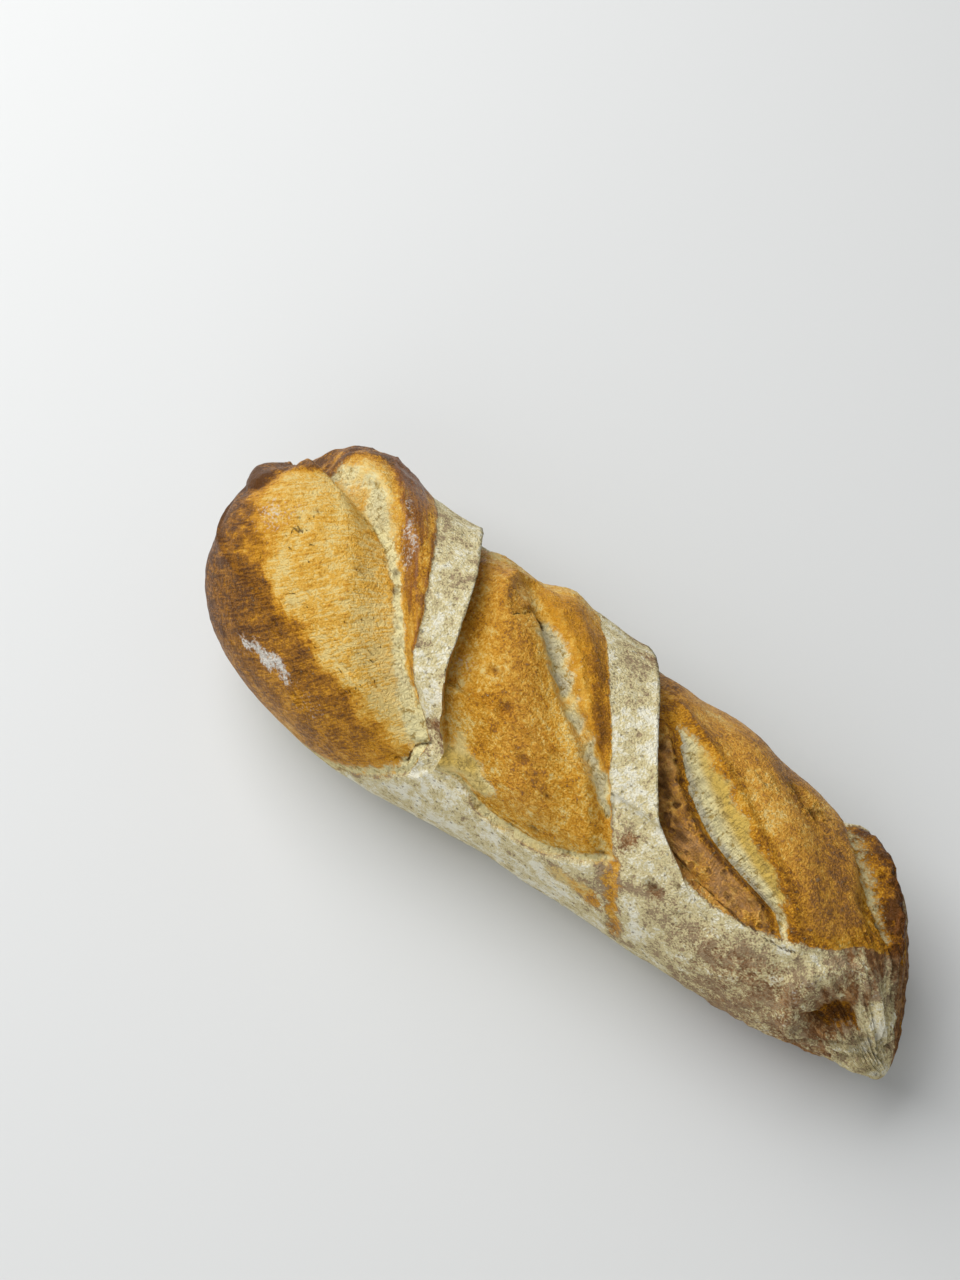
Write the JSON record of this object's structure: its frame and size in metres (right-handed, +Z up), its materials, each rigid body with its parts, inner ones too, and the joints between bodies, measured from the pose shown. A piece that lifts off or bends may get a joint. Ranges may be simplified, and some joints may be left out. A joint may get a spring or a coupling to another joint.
{
  "type": "baguette",
  "caption": "Short floury baguette, scored with slanting cuts that burst into domed blooms, torn fissures and raised ears, with a flat base.",
  "frame": {"origin": "middle of the loaf's box, on the surface that it lies on", "axes": "+X along the loaf to its narrow end, +Z up through the scored top, -Y the side that shows in the picture"},
  "size_m": [0.2466, 0.0795, 0.0673],
  "materials": {
    "crust": "baked crust, golden brown on the blooms, grey-white flour on the skin between the cuts, glossy on the toasted ears"
  },
  "bodies": {
    "root": {"loaf": "crust"}
  },
  "joints": []
}
